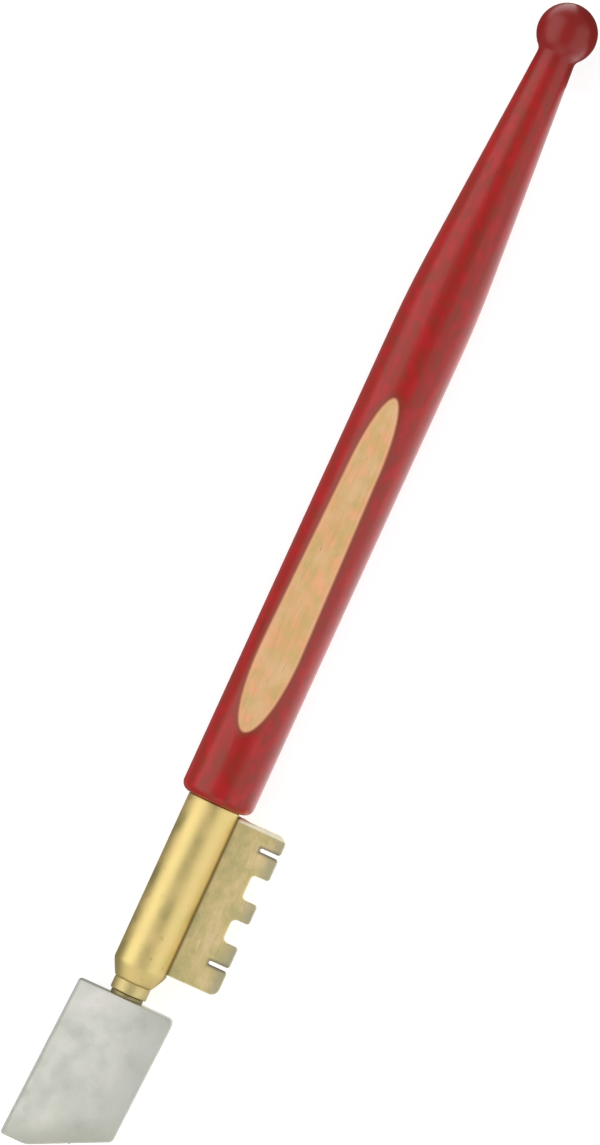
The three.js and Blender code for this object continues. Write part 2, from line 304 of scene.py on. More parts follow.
def apply_modifier(piece, kind, **settings):
    """Adds a modifier and applies it."""
    activate(piece)
    modifier = piece.modifiers.new(kind.lower(), kind)
    for key, value in settings.items():
        setattr(modifier, key, value)
    bpy.ops.object.modifier_apply(modifier=modifier.name)


def cut_with(piece, cutter, **settings):
    """Cuts another object out of a piece and throws the cutter away."""
    apply_modifier(
        piece, "BOOLEAN", operation="DIFFERENCE", object=cutter, solver="EXACT", **settings
    )
    bpy.data.objects.remove(cutter)


def turned(name, poles, profile, sides):
    """A closed shape turned about the tool's axis.

    A disc at the first (station, radius) of the profile is drawn out and sized to each next one.
    The two poles are the stations of the middles of its first and last discs.
    """
    bpy.ops.object.select_all(action="DESELECT")
    bpy.ops.mesh.primitive_circle_add(
        vertices=sides,
        radius=profile[0][1],
        fill_type="TRIFAN",
        location=on_axis(profile[0][0]),
        rotation=(0, math.radians(90), 0),
    )
    piece = bpy.context.object
    piece.name = name
    bpy.ops.object.transform_apply(location=True, rotation=True, scale=True)
    bpy.ops.object.mode_set(mode="EDIT")
    bpy.ops.mesh.select_all(action="SELECT")
    for (last_station, last_radius), (station, radius) in zip(profile, profile[1:]):
        bpy.ops.mesh.extrude_region_move(
            TRANSFORM_OT_translate={"value": (station - last_station, 0, 0)}
        )
        growth = radius / last_radius
        bpy.ops.transform.resize(value=(1, growth, growth), center_override=on_axis(station))
    bpy.ops.mesh.select_all(action="SELECT")
    bpy.ops.mesh.normals_make_consistent(inside=False)
    bpy.ops.object.mode_set(mode="OBJECT")
    middles = [v for v in piece.data.vertices if (v.co - on_axis(v.co.x - mouth)).length < 1e-6]
    middles.sort(key=lambda v: v.index)
    for vertex, pole in zip((middles[0], middles[-1]), poles):
        vertex.co.x = mouth + pole
    return piece


shoulder = curve_through(
    (0, HANDLE_MOUTH_RADIUS), (0.0002, HANDLE_RADIUS - 0.0002), (HANDLE_SHOULDER, HANDLE_RADIUS), 6
)
taper = curve_through(
    (TAPER_START, HANDLE_RADIUS), (TAPER_CORNER, HANDLE_RADIUS), (TAPER_STRAIGHT, TAPER_RADIUS), 12
)
ball_middle = handle_length - BALL_RADIUS
neck_angle = math.pi - math.asin(NECK_RADIUS / BALL_RADIUS)
neck = (ball_middle + BALL_RADIUS * math.cos(neck_angle), NECK_RADIUS)
ball_angles = [neck_angle * (1 - step / BALL_STEPS) for step in range(2, BALL_STEPS)]
ball = [
    (ball_middle + BALL_RADIUS * math.cos(angle), BALL_RADIUS * math.sin(angle))
    for angle in ball_angles
]
taper_slope = (NECK_RADIUS - TAPER_RADIUS) / (neck[0] - TAPER_STRAIGHT)
before_neck = (neck[0] - NECK_FILLET, NECK_RADIUS - NECK_FILLET * taper_slope)
handle_profile = [
    (HANDLE_BORE_END, HANDLE_BORE_RADIUS),
    (0, HANDLE_BORE_RADIUS),
    (0, HANDLE_MOUTH_RADIUS),
    *shoulder,
    *straight_run((HANDLE_SHOULDER, HANDLE_RADIUS), (TAPER_START, HANDLE_RADIUS), GRIP_STEPS),
    *taper,
    *straight_run((TAPER_STRAIGHT, TAPER_RADIUS), before_neck, TAPER_STEPS),
    *curve_through(before_neck, neck, ball[0], 5),
    *ball[1:],
]
handle = turned(
    "lacquered_handle", (HANDLE_BORE_TIP, handle_length), handle_profile, HANDLE_SIDES
)


def flat_height(station):
    """How far the thumb flat lies from the axis at a station, and how steeply it rises there."""
    deep = HANDLE_RADIUS - FLAT_DEPTH_HEAD_END
    shallow = HANDLE_RADIUS - FLAT_DEPTH_BALL_END
    if station < FLAT_DEEPEST:
        run = FLAT_DEEPEST - FLAT_START
        rest = (FLAT_DEEPEST - station) / run
        return deep + FLAT_DEPTH_HEAD_END * rest**2, -2 * FLAT_DEPTH_HEAD_END * rest / run
    if station > FLAT_SHALLOW:
        run = FLAT_END - FLAT_SHALLOW
        rest = (station - FLAT_SHALLOW) / run
        return shallow + FLAT_DEPTH_BALL_END * rest**2, 2 * FLAT_DEPTH_BALL_END * rest / run
    slope = (shallow - deep) / (FLAT_SHALLOW - FLAT_DEEPEST)
    return deep + slope * (station - FLAT_DEEPEST), slope


red_lacquer, lacquer_shader = new_material(
    "red_lacquer",
    Roughness=0.5,
    Specular_IOR_Level=0.05,
    Coat_Weight=0.75,
    Coat_Roughness=0.32,
    Coat_IOR=1.5,
)
bare_wood, wood_shader = new_material("bare_wood", Roughness=0.62)

# The grinding wheel's path: a strip as long as the flat, sunk to its depth at each step and drawn
# up. It leaves bare wood where it cuts.
flat_marks = (FLAT_START, FLAT_DEEPEST, FLAT_SHALLOW, FLAT_END)
wheel_stations = [
    start + (end - start) * step / FLAT_STEPS
    for start, end in zip(flat_marks, flat_marks[1:])
    for step in range(FLAT_STEPS)
]
wheel_stations.append(FLAT_END)
bpy.ops.object.select_all(action="DESELECT")
bpy.ops.mesh.primitive_grid_add(
    x_subdivisions=len(wheel_stations) - 1,
    y_subdivisions=WHEEL_STRIPS,
    size=2,
    location=on_axis(0),
)
wheel = bpy.context.object
bpy.ops.object.transform_apply(location=True, rotation=True, scale=True)
columns = sorted({round(v.co.x, 6) for v in wheel.data.vertices})
column_of = {x: index for index, x in enumerate(columns)}
for vertex in wheel.data.vertices:
    station = wheel_stations[column_of[round(vertex.co.x, 6)]]
    height = flat_height(station)[0]
    vertex.co = on_axis(station) + Vector((0, (vertex.co.y - axis_y) * HANDLE_RADIUS, height))
wheel.data.materials.append(bare_wood)
bpy.ops.object.mode_set(mode="EDIT")
bpy.ops.mesh.select_all(action="SELECT")
bpy.ops.mesh.extrude_region_move(TRANSFORM_OT_translate={"value": (0, 0, WHEEL_THICKNESS)})
bpy.ops.mesh.select_all(action="SELECT")
bpy.ops.mesh.normals_make_consistent(inside=False)
bpy.ops.transform.rotate(
    value=FLAT_TURN, orient_axis="X", orient_type="GLOBAL", center_override=on_axis(0)
)
bpy.ops.object.mode_set(mode="OBJECT")

handle.data.materials.append(red_lacquer)
cut_with(handle, wheel, material_mode="TRANSFER")

activate(handle)
wood_index = handle.data.materials.find("bare_wood")
bpy.ops.object.mode_set(mode="EDIT")
bpy.ops.mesh.select_all(action="DESELECT")
bpy.ops.object.mode_set(mode="OBJECT")
for face in handle.data.polygons:
    face.select = face.material_index == wood_index
bpy.ops.object.mode_set(mode="EDIT")
bpy.ops.mesh.select_mode(type="FACE")
bpy.ops.mesh.region_to_loop()
bpy.ops.mesh.mark_sharp()
bpy.ops.object.mode_set(mode="OBJECT")
bpy.ops.object.shade_smooth_by_angle(angle=math.radians(30), keep_sharp_edges=True)

# How far each point is from the edge of the flat: positive on bare wood, negative on the lacquer.
LEAST_STEEPNESS = 0.02
ON_FLAT = 2e-6

turn_cos, turn_sin = math.cos(FLAT_TURN), math.sin(FLAT_TURN)
edge_distances = []
for vertex in handle.data.vertices:
    x, y, z = vertex.co - on_axis(0)
    up = z * turn_cos + y * turn_sin
    sideways = y * turn_cos - z * turn_sin
    height, slope = flat_height(min(max(x, FLAT_START), FLAT_END))
    radial = math.hypot(up, sideways)
    steepness = max(math.hypot(sideways / max(radial, 1e-6), slope), LEAST_STEEPNESS)
    beyond = max(FLAT_START - x, x - FLAT_END, 0)
    if abs(up - height) < ON_FLAT and beyond == 0:
        edge_distances.append(max(HANDLE_RADIUS - radial, 0) / steepness)
    else:
        edge_distances.append(-max(height - up, 0) / steepness - beyond)
edge_attribute = handle.data.attributes.new("flat_edge", "FLOAT", "POINT")
edge_attribute.data.foreach_set("value", edge_distances)

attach(handle, "handle_body")
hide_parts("handle")


def between(material, value, low, high):
    """0 where the value is at low, 1 where it is at high, smooth between."""
    inputs = {"Value": value, "From Min": low, "From Max": high}
    node = add_node(material, "ShaderNodeMapRange", inputs, interpolation_type="SMOOTHSTEP")
    return node.outputs["Result"]


def mixed(material, factor, first, second):
    """Two colours mixed by a pattern."""
    node = add_node(material, "ShaderNodeMix", {"Factor": factor}, data_type="RGBA")
    for socket, value in ((node.inputs[6], first), (node.inputs[7], second)):
        if isinstance(value, bpy.types.NodeSocket):
            material.node_tree.links.new(value, socket)
        else:
            socket.default_value = (*value, 1)
    return node.outputs[2]


def bumped(material, shader, *layers):
    """Bump from (pattern, depth in metres) layers, fed to the shader."""
    normal = None
    for pattern, depth in layers:
        inputs = {"Height": pattern, "Strength": 1.0, "Distance": depth}
        if normal is not None:
            inputs["Normal"] = normal
        normal = add_node(material, "ShaderNodeBump", inputs).outputs["Normal"]
    material.node_tree.links.new(normal, shader.inputs["Normal"])


def place_axes(material):
    """The X, Y and Z of the place on the piece, as separate patterns."""
    place = add_node(material, "ShaderNodeTexCoord").outputs["Object"]
    return add_node(material, "ShaderNodeSeparateXYZ", {"Vector": place}).outputs


def feed(material, shader, **sockets):
    """Links patterns to the shader's sockets."""
    for key, value in sockets.items():
        material.node_tree.links.new(value, shader.inputs[key.replace("_", " ")])


# Lacquer: the grain shows through as long dark streaks, and the film is a little uneven. It has
# pooled thicker and darker on the ball and in the neck, which hung lowest after dipping.
streaks = stretched_noise(red_lacquer, (45, 700, 700), detail=5, roughness=0.6)
pores = stretched_noise(red_lacquer, (260, 4200, 4200), detail=2)
clouds = stretched_noise(red_lacquer, (420, 700, 700), detail=2)
film = stretched_noise(red_lacquer, (500, 900, 900), detail=2)
streak_colour = colour_ramp(
    red_lacquer,
    streaks,
    (0.28, (0.24, 0.005, 0.003)),
    (0.5, (0.34, 0.007, 0.003)),
    (0.75, (0.43, 0.014, 0.008)),
)
cloud_colour = colour_ramp(
    red_lacquer,
    clouds,
    (0.34, (0.24, 0.022, 0.006)),
    (0.5, (0.34, 0.007, 0.004)),
    (0.64, (0.46, 0.003, 0.008)),
)
clouded_streaks = mixed(red_lacquer, 0.6, streak_colour, cloud_colour)
pore_factor = between(red_lacquer, pores, 0.66, 0.8)
pore_colour = mixed(red_lacquer, pore_factor, clouded_streaks, (0.12, 0.005, 0.004))
edge_value = add_node(red_lacquer, "ShaderNodeAttribute", attribute_name="flat_edge").outputs["Fac"]
# The lacquer is painted darker in a thin line along the flat's edge.
dark_edge_line = between(red_lacquer, edge_value, -0.0009, -0.0001)
pool_start, pool_end = handle_high.x - 2.9 * BALL_RADIUS, handle_high.x - 1.6 * BALL_RADIUS
pooling = between(red_lacquer, place_axes(red_lacquer)["X"], pool_start, pool_end)
pooled_colour = mixed(red_lacquer, pooling, pore_colour, (0.25, 0.005, 0.003))
lacquer_colour = mixed(red_lacquer, dark_edge_line, pooled_colour, (0.26, 0.026, 0.01))
feed(red_lacquer, lacquer_shader, Base_Color=lacquer_colour)
bumped(red_lacquer, lacquer_shader, (film, 0.00003), (streaks, 0.00002))

# Bare wood: fine fibres, short dark pores and soft pink and olive patches, with a pink rim where
# lacquer has crept in and a thin darker line right at the edge.
fibres = stretched_noise(bare_wood, (120, 2600, 2600), detail=5, roughness=0.65)
flecks = stretched_noise(bare_wood, (420, 6500, 6500), detail=2)
patches = stretched_noise(bare_wood, (400, 560, 560), detail=2)
shade = stretched_noise(bare_wood, (260, 300, 300), detail=3)
patch_colour = colour_ramp(
    bare_wood,
    patches,
    (0.3, (0.56, 0.41, 0.15)),
    (0.5, (0.69, 0.4, 0.17)),
    (0.7, (0.87, 0.38, 0.21)),
)
shade_factor = between(bare_wood, shade, 0.4, 0.72)
shaded_colour = mixed(bare_wood, shade_factor, patch_colour, (0.72, 0.47, 0.24))
fibre_factor = between(bare_wood, fibres, 0.46, 0.85)
fibre_colour = mixed(bare_wood, fibre_factor, shaded_colour, (0.56, 0.35, 0.14))
fleck_factor = between(bare_wood, flecks, 0.68, 0.8)
fleck_colour = mixed(bare_wood, fleck_factor, fibre_colour, (0.36, 0.2, 0.1))
wood_edge = add_node(bare_wood, "ShaderNodeAttribute", attribute_name="flat_edge").outputs["Fac"]
pink_rim = between(bare_wood, wood_edge, 0.0009, 0.0003)
rim_colour = mixed(bare_wood, 0.5, fleck_colour, (0.86, 0.4, 0.24))
pink_colour = mixed(bare_wood, pink_rim, fleck_colour, rim_colour)
# The wood is painted darker in a thin line right at the flat's edge.
wood_dark_edge = between(bare_wood, wood_edge, 0.0004, 0.00005)
wood_colour = mixed(bare_wood, wood_dark_edge, pink_colour, (0.34, 0.09, 0.045))
feed(bare_wood, wood_shader, Base_Color=wood_colour)
bumped(bare_wood, wood_shader, (fibres, 0.00004), (flecks, 0.00003))


# --------------------------------------------------------------------------------------------------
# Tang stud. A steel stud with a coarse rolled thread, glued into the wood and screwed into the
# barrel. It can't be seen once the tool is together.

bright_steel, steel_shader = new_material("bright_steel", Metallic=1.0)
steel_grain = stretched_noise(bright_steel, (5200, 700, 700), detail=3)
steel_colour = colour_ramp(
    bright_steel, steel_grain, (0.3, (0.42, 0.42, 0.42)), (0.7, (0.56, 0.56, 0.57))
)
# Limits far outside a pattern's own range make a roughness that only varies a little.
steel_roughness = between(bright_steel, steel_grain, -1.2, 2.6)
feed(bright_steel, steel_shader, Base_Color=steel_colour, Roughness=steel_roughness)
bumped(bright_steel, steel_shader, (steel_grain, 0.00001))
tang_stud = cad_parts["tang_stud"]
tang_stud.data.materials.clear()
tang_stud.data.materials.append(bright_steel)


# --------------------------------------------------------------------------------------------------
# Barrel. Brass bar turned to a plain cylinder with a rounded nose and a small collar, drilled from
# both ends, slotted along one side for the comb and cross-drilled through the nose for the stem's
# pin.

BARREL_RADIUS = 0.004
BARREL_BACK = -0.00005
BARREL_FRONT = -0.0256
BARREL_EDGE = 0.0002
NOSE_FRONT = -0.028
NOSE_RADIUS = 0.00285
NOSE_CORNER = (-0.02608, 0.0039)
CREASE_RADIUS = 0.00262
CREASE_WIDTH = 0.00003
COLLAR_BACK = -0.02815
COLLAR_BACK_EDGE = 0.00012
COLLAR_RADIUS = 0.00275
COLLAR_EDGE = 0.00022
STEM_BORE_RADIUS = 0.0016
STEM_BORE_LENGTH = 0.0094
STUD_BORE_RADIUS = 0.00206
STUD_BORE_END = -0.012
BARREL_SIDES = 128
BRAZE_GAP = 0.00001
SLOT_OVERRUN = 0.002
PIN_GAP = 0.00005
COLLAR_SHADE_REACH = 0.0004
BARREL_SEAM_SHADE = 0.0012

collar_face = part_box("barrel")[0].x - mouth
comb_low, comb_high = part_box("breaker_comb")
pin_low, pin_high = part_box("stem_pin")

collar_back = (COLLAR_BACK - COLLAR_BACK_EDGE, COLLAR_RADIUS)
crease = (COLLAR_BACK + CREASE_WIDTH, CREASE_RADIUS)
nose_start = (NOSE_FRONT + 0.0001, NOSE_RADIUS + 0.00006)
barrel_profile = [
    (collar_face + STEM_BORE_LENGTH, STEM_BORE_RADIUS),
    (collar_face + 0.0001, STEM_BORE_RADIUS),
    (collar_face, STEM_BORE_RADIUS + 0.0001),
    (collar_face, COLLAR_RADIUS - COLLAR_EDGE),
    *curve_through(
        (collar_face, COLLAR_RADIUS - COLLAR_EDGE),
        (collar_face, COLLAR_RADIUS),
        (collar_face + COLLAR_EDGE, COLLAR_RADIUS),
        4,
    ),
    *straight_run((collar_face + COLLAR_EDGE, COLLAR_RADIUS), collar_back, 4),
    *curve_through(collar_back, (COLLAR_BACK, COLLAR_RADIUS), crease, 3),
    *curve_through(crease, (NOSE_FRONT, NOSE_RADIUS), nose_start, 3),
    *curve_through(nose_start, NOSE_CORNER, (BARREL_FRONT, BARREL_RADIUS), 14),
    *straight_run((BARREL_FRONT, BARREL_RADIUS), (BARREL_BACK - BARREL_EDGE, BARREL_RADIUS), 26),
    *curve_through(
        (BARREL_BACK - BARREL_EDGE, BARREL_RADIUS),
        (BARREL_BACK, BARREL_RADIUS),
        (BARREL_BACK, BARREL_RADIUS - BARREL_EDGE),
        4,
    ),
    (BARREL_BACK, STUD_BORE_RADIUS),
    (STUD_BORE_END, STUD_BORE_RADIUS),
]
barrel = turned(
    "brass_barrel",
    (collar_face + STEM_BORE_LENGTH, STUD_BORE_END),
    barrel_profile,
    BARREL_SIDES,
)

slot_low = comb_low - Vector((BRAZE_GAP, SLOT_OVERRUN, BRAZE_GAP))
slot_high = comb_high + Vector((SLOT_OVERRUN, BRAZE_GAP, BRAZE_GAP))
bpy.ops.object.select_all(action="DESELECT")
bpy.ops.mesh.primitive_cube_add(
    size=1, location=(slot_low + slot_high) / 2, scale=slot_high - slot_low
)
cut_with(barrel, bpy.context.object)

pin_middle = (pin_low + pin_high) / 2
bpy.ops.object.select_all(action="DESELECT")
bpy.ops.mesh.primitive_cylinder_add(
    vertices=32,
    radius=(pin_high.x - pin_low.x) / 2 + PIN_GAP,
    depth=3 * BARREL_RADIUS,
    location=pin_middle,
    rotation=(math.radians(90), 0, 0),
)
cut_with(barrel, bpy.context.object)
activate(barrel)
bpy.ops.object.shade_smooth_by_angle(angle=math.radians(32))

half_comb = (comb_high.z - comb_low.z) / 2
seam_across = -math.sqrt(BARREL_RADIUS**2 - half_comb**2)


def computed(material, operation, *values):
    """The result of arithmetic on a pattern."""
    return add_node(
        material, "ShaderNodeMath", dict(enumerate(values)), operation=operation
    ).outputs[0]


def seam_shade(material, reach):
    """Painted shade: 1 at the two lines where the comb leaves the barrel, fading to 0 at a distance.
    """
    axes = place_axes(material)
    across = computed(material, "SUBTRACT", axes["Y"], axis_y + seam_across)
    height = computed(material, "ABSOLUTE", computed(material, "SUBTRACT", axes["Z"], axis_z))
    above = computed(material, "SUBTRACT", height, half_comb)
    offset = add_node(material, "ShaderNodeCombineXYZ", {"X": across, "Y": above})
    length = {0: offset.outputs[0]}
    distance = add_node(material, "ShaderNodeVectorMath", length, operation="LENGTH")
    return between(material, distance.outputs["Value"], reach, 0.00002)


turned_brass, brass_shader = new_material("turned_brass", Metallic=1.0)
lathe_lines = stretched_noise(turned_brass, (7000, 160, 160), detail=3, roughness=0.6)
brass_haze = stretched_noise(turned_brass, (260, 340, 340), detail=4)
brass_spots = stretched_noise(turned_brass, (900, 900, 900), detail=3)
haze_colour = colour_ramp(
    turned_brass,
    brass_haze,
    (0.32, (0.62, 0.51, 0.21)),
    (0.5, (0.7, 0.56, 0.24)),
    (0.68, (0.76, 0.6, 0.28)),
)
spot_factor = between(turned_brass, brass_spots, 0.64, 0.82)
spotted_brass = mixed(turned_brass, spot_factor, haze_colour, (0.52, 0.38, 0.14))
# Painted shade darkens the barrel along the comb, where it curves down into the seam.
seam_shade_factor = seam_shade(turned_brass, BARREL_SEAM_SHADE)
seam_shaded_brass = mixed(turned_brass, seam_shade_factor, spotted_brass, (0.36, 0.27, 0.09))
brass_along = place_axes(turned_brass)["X"]
# Painted shade: the whole collar is darker, fading out a short way past the crease onto the nose.
collar_crease_x = mouth + COLLAR_BACK
collar_shade = between(turned_brass, brass_along, collar_crease_x + COLLAR_SHADE_REACH, collar_crease_x)
brass_colour = mixed(turned_brass, collar_shade, seam_shaded_brass, (0.6, 0.5, 0.24))
brass_roughness = between(turned_brass, brass_haze, -1.1, 2.0)
feed(turned_brass, brass_shader, Base_Color=brass_colour, Roughness=brass_roughness)
bumped(turned_brass, brass_shader, (lathe_lines, 0.000006), (brass_haze, 0.00002))
barrel.data.materials.clear()
barrel.data.materials.append(turned_brass)
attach(barrel, "handle_body")
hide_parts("barrel")


# --------------------------------------------------------------------------------------------------
# Breaker comb. A plate sawn from rolled brass sheet, with two wide notches to nip off window glass
# and two narrow slots for thin glass. Its edges are rolled over by tumbling and it is brazed into
# the barrel's slot.

COMB_CORNER = 0.0012
CORNER_ROOM = 0.0015
TOOTH_CORNER = 0.00045
COMB_EDGE = 0.00022
COMB_END_CHAMFER = 0.00045
END_BAND_WIDTH = 0.0006
SAW_LENGTH = 0.01
COMB_SEAM_SHADE = 0.00045
SLOT_SHADE_REACH = 0.00085
NOTCHES = (
    {"station": -0.0034, "width": 0.0006, "depth": 0.003, "root": 0.00025},
    {"station": -0.00895, "width": 0.0038, "depth": 0.0025, "root": 0.0006},
    {"station": -0.01565, "width": 0.0036, "depth": 0.0025, "root": 0.0008},
    {"station": -0.02095, "width": 0.0006, "depth": 0.003, "root": 0.00025},
)


def select_edges(piece, wanted):
    """In edit mode, selects the edges whose two ends are wanted, and nothing else."""
    bpy.ops.object.mode_set(mode="EDIT")
    bpy.ops.mesh.select_mode(type="EDGE")
    bpy.ops.mesh.select_all(action="DESELECT")
    bpy.ops.object.mode_set(mode="OBJECT")
    points = piece.data.vertices
    for edge in piece.data.edges:
        a, b = (points[index].co for index in edge.vertices)
        edge.select = wanted(a, b)
    bpy.ops.object.mode_set(mode="EDIT")


def stands_up(a, b):
    """Whether an edge runs straight up."""
    return abs(a.x - b.x) < 1e-7 and abs(a.y - b.y) < 1e-7 and abs(a.z - b.z) > 1e-5


def bevel_edges(piece, wanted, offset, segments):
    """Rounds off the wanted edges."""
    select_edges(piece, wanted)
    bpy.ops.mesh.bevel(offset=offset, offset_type="OFFSET", segments=segments, affect="EDGES")
    bpy.ops.object.mode_set(mode="OBJECT")


bpy.ops.object.select_all(action="DESELECT")
bpy.ops.mesh.primitive_cube_add(
    size=1, location=(comb_low + comb_high) / 2, scale=comb_high - comb_low
)
comb = bpy.context.object
comb.name = "brass_breaker_comb"
bpy.ops.object.transform_apply(location=True, rotation=True, scale=True)

for notch in NOTCHES:
    root_y = comb_low.y + notch["depth"]
    middle = Vector((mouth + notch["station"], root_y - SAW_LENGTH / 2, axis_z))
    saw_size = (notch["width"], SAW_LENGTH, SAW_LENGTH)
    bpy.ops.object.select_all(action="DESELECT")
    bpy.ops.mesh.primitive_cube_add(size=1, location=middle, scale=saw_size)
    saw = bpy.context.object
    bpy.ops.object.transform_apply(location=True, rotation=True, scale=True)
    bevel_edges(saw, lambda a, b: stands_up(a, b) and abs(a.y - root_y) < 1e-6, notch["root"], 6)
    cut_with(comb, saw)

activate(comb)
bevel_edges(
    comb,
    lambda a, b: stands_up(a, b)
    and abs(a.y - comb_low.y) < 1e-6
    and min(abs(a.x - comb_low.x), abs(a.x - comb_high.x)) < 1e-6,
    COMB_CORNER,
    8,
)
bevel_edges(
    comb,
    lambda a, b: stands_up(a, b)
    and abs(a.y - comb_low.y) < 1e-6
    and comb_low.x + CORNER_ROOM < a.x < comb_high.x - CORNER_ROOM,
    TOOTH_CORNER,
    5,
)
bevel_edges(
    comb,
    lambda a, b: abs(a.z - b.z) < 1e-7
    and abs(a.x - comb_high.x) < 1e-6
    and abs(b.x - comb_high.x) < 1e-6,
    COMB_END_CHAMFER,
    2,
)
bevel_edges(
    comb,
    lambda a, b: abs(a.z - b.z) < 1e-7
    and min(abs(a.z - comb_low.z), abs(a.z - comb_high.z)) < 1e-6
    and not (min(a.x, b.x) > comb_high.x - END_BAND_WIDTH and abs(a.x - b.x) < 1e-7),
    COMB_EDGE,
    3,
)
# The bevels meet at the comb's end and leave slivers there, which are merged away.
bpy.ops.object.mode_set(mode="EDIT")
bpy.ops.mesh.select_all(action="SELECT")
bpy.ops.mesh.remove_doubles(threshold=0.000004)
bpy.ops.mesh.dissolve_degenerate(threshold=0.000001)
bpy.ops.mesh.select_all(action="SELECT")
bpy.ops.mesh.normals_make_consistent(inside=False)
bpy.ops.object.mode_set(mode="OBJECT")
bpy.ops.object.shade_smooth_by_angle(angle=math.radians(40))
apply_modifier(comb, "WEIGHTED_NORMAL", keep_sharp=True, weight=80)

rolled_brass, rolled_shader = new_material("rolled_brass", Metallic=1.0)
sheet_lines = stretched_noise(rolled_brass, (220, 3000, 900), detail=4, roughness=0.6)
tumbling = stretched_noise(rolled_brass, (1500, 1500, 1500), detail=3)
dulling = stretched_noise(rolled_brass, (330, 360, 360), detail=3)
dull_colour = colour_ramp(
    rolled_brass,
    dulling,
    (0.34, (0.6, 0.55, 0.28)),
    (0.5, (0.74, 0.62, 0.3)),
    (0.66, (0.88, 0.7, 0.4)),
)
line_factor = between(rolled_brass, sheet_lines, 0.45, 0.8)
lined_colour = mixed(rolled_brass, line_factor, dull_colour, (0.62, 0.53, 0.28))
comb_axes = place_axes(rolled_brass)
tip_factor = between(rolled_brass, comb_axes["Y"], comb_low.y + 0.0026, comb_low.y - 0.0004)
tipped_colour = mixed(rolled_brass, tip_factor, lined_colour, (0.5, 0.47, 0.33))
# A painted highlight: a pale cream band along the comb's end.
end_band_start = comb_high.x - END_BAND_WIDTH
end_highlight = between(rolled_brass, comb_axes["X"], end_band_start - 0.00025, end_band_start)
end_highlighted_colour = mixed(rolled_brass, end_highlight, tipped_colour, (1.0, 0.94, 0.75))
# Painted shade darkens the comb beside the barrel.
comb_seam_shade = seam_shade(rolled_brass, COMB_SEAM_SHADE)
comb_colour = mixed(rolled_brass, comb_seam_shade, end_highlighted_colour, (0.34, 0.25, 0.09))
# Painted shade darkens the comb round the two narrow slots.
for notch in (NOTCHES[0], NOTCHES[-1]):
    beside = computed(rolled_brass, "SUBTRACT", comb_axes["X"], mouth + notch["station"])
    away = computed(rolled_brass, "ABSOLUTE", beside)
    near = between(rolled_brass, away, SLOT_SHADE_REACH, notch["width"] / 2)
    slot_root = comb_low.y + notch["depth"]
    outside = between(rolled_brass, comb_axes["Y"], slot_root + 0.0005, slot_root)
    slot_shade = computed(rolled_brass, "MULTIPLY", near, outside)
    comb_colour = mixed(rolled_brass, slot_shade, comb_colour, (0.33, 0.28, 0.2))
comb_roughness = between(rolled_brass, tumbling, -1.6, 2.4)
feed(rolled_brass, rolled_shader, Base_Color=comb_colour, Roughness=comb_roughness)
bumped(rolled_brass, rolled_shader, (tumbling, 0.00002), (sheet_lines, 0.00001))
comb.data.materials.clear()
comb.data.materials.append(rolled_brass)
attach(comb, "handle_body")
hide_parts("breaker_comb")


# --------------------------------------------------------------------------------------------------
# Stem pin. A bit of bright steel wire, driven through the nose of the barrel. It runs in the stem's
# groove, so the stem can turn but not come out.

PIN_EDGE = 0.00012

bpy.ops.object.select_all(action="DESELECT")
bpy.ops.mesh.primitive_cylinder_add(
    vertices=40,
    radius=(pin_high.x - pin_low.x) / 2,
    depth=pin_high.y - pin_low.y,
    location=pin_middle,
    rotation=(math.radians(90), 0, 0),
)
stem_pin = bpy.context.object
stem_pin.name = "steel_stem_pin"
bpy.ops.object.transform_apply(location=True, rotation=True, scale=True)
bevel_edges(stem_pin, lambda a, b: abs(a.y - b.y) < 1e-7, PIN_EDGE, 3)
bpy.ops.object.shade_smooth_by_angle(angle=math.radians(40))
stem_pin.data.materials.append(bright_steel)
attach(stem_pin, "handle_body")
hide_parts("stem_pin")


# --------------------------------------------------------------------------------------------------
# Swivel stem. Bright steel rod soldered into the head block, free to turn in the nose. Only a
# sliver of it shows beside the washer.

swivel_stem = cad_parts["swivel_stem"]
swivel_stem.data.materials.clear()
swivel_stem.data.materials.append(bright_steel)


# --------------------------------------------------------------------------------------------------
# Swivel washer. A thin steel ring, stamped and blackened in oil. It lies on the head block round
# the stem, and the collar turns against it.

WASHER_EDGE = 0.00012
WASHER_HOLE_RADIUS = 0.00161

washer_face = washer_low.x - mouth
washer_back = washer_high.x - mouth
washer_radius = (washer_high.y - washer_low.y) / 2

bpy.ops.object.select_all(action="DESELECT")
bpy.ops.mesh.primitive_cylinder_add(
    vertices=96,
    radius=washer_radius,
    depth=washer_back - washer_face,
    location=on_axis((washer_face + washer_back) / 2),
    rotation=(0, math.radians(90), 0),
)
washer = bpy.context.object
washer.name = "black_swivel_washer"
bpy.ops.object.transform_apply(location=True, rotation=True, scale=True)
bpy.ops.object.select_all(action="DESELECT")
bpy.ops.mesh.primitive_cylinder_add(
    vertices=64,
    radius=WASHER_HOLE_RADIUS,
    depth=2 * washer_radius,
    location=on_axis((washer_face + washer_back) / 2),
    rotation=(0, math.radians(90), 0),
)
cut_with(washer, bpy.context.object)
bevel_edges(
    washer,
    lambda a, b: abs(a.x - b.x) < 1e-7
    and (a - on_axis(a.x - mouth)).length > WASHER_HOLE_RADIUS + WASHER_EDGE
    and (b - on_axis(b.x - mouth)).length > WASHER_HOLE_RADIUS + WASHER_EDGE,
    WASHER_EDGE,
    3,
)
bpy.ops.object.shade_smooth_by_angle(angle=math.radians(40))

black_steel, black_shader = new_material("blackened_steel", Metallic=1.0)
black_grain = stretched_noise(black_steel, (2600, 900, 900), detail=3)
black_colour = colour_ramp(
    black_steel,
    black_grain,
    (0.3, (0.27, 0.225, 0.12)),
    (0.55, (0.37, 0.31, 0.17)),
    (0.75, (0.5, 0.42, 0.24)),
)
black_roughness = between(black_steel, black_grain, -1.5, 2.2)
feed(black_steel, black_shader, Base_Color=black_colour, Roughness=black_roughness)
bumped(black_steel, black_shader, (black_grain, 0.00001))
washer.data.materials.clear()
washer.data.materials.append(black_steel)
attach(washer, "head")
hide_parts("swivel_washer")
